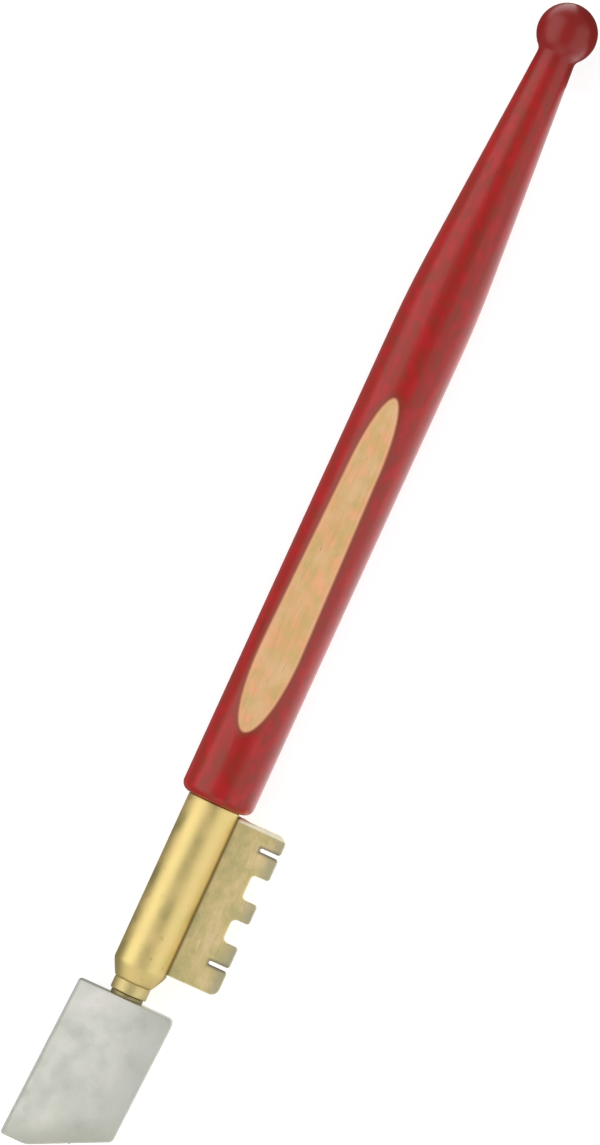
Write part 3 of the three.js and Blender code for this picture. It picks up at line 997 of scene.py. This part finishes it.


# --------------------------------------------------------------------------------------------------
# Head block. A flat block of nickel-plated metal with leaning sides, a square heel and a slanted
# sole, drilled at the top for the stem and in the sole for the diamond's sett. The plating is satin
# and clouded by handling. Painted shade darkens it towards the comb side, along the heel edge and
# towards the sole.

BLOCK_HEEL_SIDE = 0.0072
BLOCK_COMB_SIDE = -0.00765
BLOCK_LEAN = math.radians(2.7)
HEEL_WIDTH = 0.004
SOLE_SLANT = math.radians(25.8)
BLOCK_CORNER = 0.0005
BLOCK_TOP_CORNER = 0.0009
BLOCK_EDGE = 0.00022
STEM_HOLE_RADIUS = 0.00161
STEM_HOLE_DEPTH = 0.00585
SETT_RADIUS = 0.0013
SETT_LENGTH = 0.005
SETT_GAP = 0.00006
HEEL_EDGE_SHADE = 0.0006
SOLE_SHADE_REACH = 0.0042

block_low, block_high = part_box("head_block")
block_length = block_high.x - block_low.x
lean = math.tan(BLOCK_LEAN)
slant = math.tan(SOLE_SLANT)
heel_outer = BLOCK_HEEL_SIDE + block_length * lean
heel_inner = heel_outer - HEEL_WIDTH
sole_run = (heel_inner - BLOCK_COMB_SIDE - block_length * lean) / (1 - lean * slant)
heel_point = Vector((block_low.x, axis_y + heel_inner, axis_z))
toe_point = heel_point + Vector((sole_run * slant, -sole_run, 0))
sole_middle = (heel_point + toe_point) / 2
sole_outward = Vector((-math.cos(SOLE_SLANT), -math.sin(SOLE_SLANT), 0))

bpy.ops.object.select_all(action="DESELECT")
bpy.ops.mesh.primitive_cube_add(
    size=1,
    location=((block_low.x + block_high.x) / 2, axis_y, axis_z),
    scale=(block_length, 0.03, block_high.z - block_low.z),
)
block = bpy.context.object
block.name = "nickel_head_block"
bpy.ops.object.transform_apply(location=True, rotation=True, scale=True)
bpy.ops.object.mode_set(mode="EDIT")
for point, outward in (
    (Vector((block_high.x, axis_y + BLOCK_HEEL_SIDE, 0)), Vector((lean, 1, 0))),
    (Vector((block_high.x, axis_y + BLOCK_COMB_SIDE, 0)), Vector((-lean, -1, 0))),
    (sole_middle, sole_outward),
):
    bpy.ops.mesh.select_all(action="SELECT")
    bpy.ops.mesh.bisect(plane_co=point, plane_no=outward, use_fill=True, clear_outer=True)
bpy.ops.object.mode_set(mode="OBJECT")
bevel_edges(
    block,
    lambda a, b: stands_up(a, b) and a.x > block_high.x - 1e-5 and a.y < axis_y,
    BLOCK_TOP_CORNER,
    7,
)
bevel_edges(
    block,
    lambda a, b: stands_up(a, b)
    and not (a.x > block_high.x - 2 * BLOCK_TOP_CORNER and a.y < axis_y),
    BLOCK_CORNER,
    5,
)
bevel_edges(block, lambda a, b: abs(a.z - b.z) < 1e-7, BLOCK_EDGE, 4)

bpy.ops.object.select_all(action="DESELECT")
bpy.ops.mesh.primitive_cylinder_add(
    vertices=64,
    radius=STEM_HOLE_RADIUS,
    depth=2 * STEM_HOLE_DEPTH,
    location=(block_high.x, axis_y, axis_z),
    rotation=(0, math.radians(90), 0),
)
cut_with(block, bpy.context.object)
bpy.ops.object.select_all(action="DESELECT")
bpy.ops.mesh.primitive_cylinder_add(
    vertices=64,
    radius=SETT_RADIUS + SETT_GAP,
    depth=2 * (SETT_LENGTH + SETT_GAP),
    location=sole_middle,
    rotation=sole_outward.to_track_quat("Z", "Y").to_euler(),
)
cut_with(block, bpy.context.object)
activate(block)
bpy.ops.object.shade_smooth_by_angle(angle=math.radians(40))
apply_modifier(block, "WEIGHTED_NORMAL", keep_sharp=True, weight=80)

satin_nickel, nickel_shader = new_material("satin_nickel", Metallic=1.0)
clouding = stretched_noise(satin_nickel, (300, 300, 300), detail=3)
blasting = stretched_noise(satin_nickel, (3200, 3200, 3200), detail=3)
rubbing = stretched_noise(satin_nickel, (90, 160, 160), detail=3)
cloud_tone = colour_ramp(
    satin_nickel,
    clouding,
    (0.3, (0.72, 0.75, 0.67)),
    (0.5, (0.78, 0.79, 0.73)),
    (0.7, (0.83, 0.81, 0.79)),
)
rub_factor = between(satin_nickel, rubbing, 0.4, 0.7)
rubbed_nickel = mixed(satin_nickel, rub_factor, cloud_tone, (0.72, 0.73, 0.67))
nickel_axes = place_axes(satin_nickel)
# Painted shade: the block darkens towards its comb side.
comb_side_shade = between(satin_nickel, nickel_axes["Y"], axis_y + 0.003, block_low.y - 0.002)
comb_shaded_nickel = mixed(satin_nickel, comb_side_shade, rubbed_nickel, (0.63, 0.64, 0.6))
# Painted shade: a dark band along the heel-side edge.
heel_line = computed(satin_nickel, "MULTIPLY_ADD", nickel_axes["X"], lean, nickel_axes["Y"])
heel_edge = block_high.x * lean + axis_y + BLOCK_HEEL_SIDE
heel_edge_shade = between(satin_nickel, heel_line, heel_edge - HEEL_EDGE_SHADE, heel_edge)
heel_shaded_nickel = mixed(satin_nickel, heel_edge_shade, comb_shaded_nickel, (0.42, 0.43, 0.41))
# Painted shade: the block darkens towards the sole.
nickel_place = add_node(satin_nickel, "ShaderNodeTexCoord").outputs["Object"]
along_inputs = {0: nickel_place, 1: sole_outward}
along = add_node(satin_nickel, "ShaderNodeVectorMath", along_inputs, operation="DOT_PRODUCT")
sole_height = sole_middle.dot(sole_outward)
sole_shade = between(satin_nickel, along.outputs["Value"], sole_height - SOLE_SHADE_REACH, sole_height)
nickel_colour = mixed(satin_nickel, sole_shade, heel_shaded_nickel, (0.59, 0.6, 0.53))
nickel_roughness = between(satin_nickel, clouding, -1.6, 2.2)
feed(satin_nickel, nickel_shader, Base_Color=nickel_colour, Roughness=nickel_roughness)
bumped(satin_nickel, nickel_shader, (blasting, 0.00002), (rubbing, 0.00001))
block.data.materials.clear()
block.data.materials.append(satin_nickel)
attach(block, "head")
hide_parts("head_block")


# --------------------------------------------------------------------------------------------------
# Diamond sett. A small copper plug soldered into the sole, flush with it. Its end is burnished
# round the stone in a shallow dish.

SETT_RIM = 0.00035
SETT_DISH = 0.00008
SETT_EDGE = 0.00006
POCKET_GAP = 0.00005
DIAMOND_RADIUS = 0.0006
DIAMOND_PROUD = 0.0003
DIAMOND_EDGE = 0.00004

into_sole = sole_outward.to_track_quat("Z", "Y").to_euler()
diamond_middle = sole_middle + sole_outward * (DIAMOND_PROUD - DIAMOND_RADIUS)


def add_octahedron(name, radius):
    """A stone's shape, with one point out of the sole."""
    bpy.ops.object.select_all(action="DESELECT")
    bpy.ops.mesh.primitive_uv_sphere_add(
        segments=4, ring_count=2, radius=radius, location=diamond_middle, rotation=into_sole
    )
    stone = bpy.context.object
    stone.name = name
    bpy.ops.object.transform_apply(location=True, rotation=True, scale=True)
    return stone


bpy.ops.object.select_all(action="DESELECT")
bpy.ops.mesh.primitive_cylinder_add(
    vertices=64,
    radius=SETT_RADIUS,
    depth=SETT_LENGTH,
    location=sole_middle - sole_outward * (SETT_LENGTH / 2),
    rotation=into_sole,
)
sett = bpy.context.object
sett.name = "copper_diamond_sett"
bpy.ops.object.transform_apply(location=True, rotation=True, scale=True)
bpy.ops.object.mode_set(mode="EDIT")
bpy.ops.mesh.select_mode(type="FACE")
bpy.ops.mesh.select_all(action="DESELECT")
bpy.ops.object.mode_set(mode="OBJECT")
for face in sett.data.polygons:
    face.select = face.normal.dot(sole_outward) > 0.99
bpy.ops.object.mode_set(mode="EDIT")
bpy.ops.mesh.inset(thickness=SETT_RIM)
bpy.ops.transform.translate(value=-sole_outward * SETT_DISH)
bpy.ops.object.mode_set(mode="OBJECT")
bevel_edges(
    sett,
    lambda a, b: abs((a - sole_middle).dot(sole_outward)) < 1e-7
    and abs((b - sole_middle).dot(sole_outward)) < 1e-7
    and (a - sole_middle).length > SETT_RADIUS - 1e-6
    and (b - sole_middle).length > SETT_RADIUS - 1e-6,
    SETT_EDGE,
    3,
)
cut_with(sett, add_octahedron("pocket", DIAMOND_RADIUS + POCKET_GAP))
activate(sett)
bpy.ops.object.shade_smooth_by_angle(angle=math.radians(35))

copper, copper_shader = new_material("copper", Metallic=1.0)
copper_grain = stretched_noise(copper, (2200, 2200, 2200), detail=3)
copper_colour = colour_ramp(
    copper, copper_grain, (0.3, (0.5, 0.22, 0.12)), (0.7, (0.72, 0.36, 0.22))
)
copper_roughness = between(copper, copper_grain, -0.8, 2.4)
feed(copper, copper_shader, Base_Color=copper_colour, Roughness=copper_roughness)
bumped(copper, copper_shader, (copper_grain, 0.00001))
sett.data.materials.clear()
sett.data.materials.append(copper)
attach(sett, "head")
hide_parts("diamond_sett")


# --------------------------------------------------------------------------------------------------
# Diamond. A small natural octahedron with one point out of the sole, its edges rounded as those of
# such stones are.

diamond = add_octahedron("cutting_diamond", DIAMOND_RADIUS)
bpy.ops.object.mode_set(mode="EDIT")
bpy.ops.mesh.select_mode(type="EDGE")
bpy.ops.mesh.select_all(action="SELECT")
bpy.ops.mesh.bevel(offset=DIAMOND_EDGE, offset_type="OFFSET", segments=3, affect="EDGES")
bpy.ops.object.mode_set(mode="OBJECT")
bpy.ops.object.shade_smooth_by_angle(angle=math.radians(20))

diamond_stone, stone_shader = new_material(
    "diamond_stone", Roughness=0.04, Transmission_Weight=0.85, IOR=2.2
)
stone_haze = stretched_noise(diamond_stone, (2500, 2500, 2500), detail=2)
stone_colour = colour_ramp(
    diamond_stone, stone_haze, (0.3, (0.8, 0.83, 0.84)), (0.7, (0.95, 0.96, 0.97))
)
feed(diamond_stone, stone_shader, Base_Color=stone_colour)
bumped(diamond_stone, stone_shader, (stone_haze, 0.000004))
diamond.data.materials.append(diamond_stone)
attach(diamond, "head")
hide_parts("diamond")


bpy.context.view_layer.update()
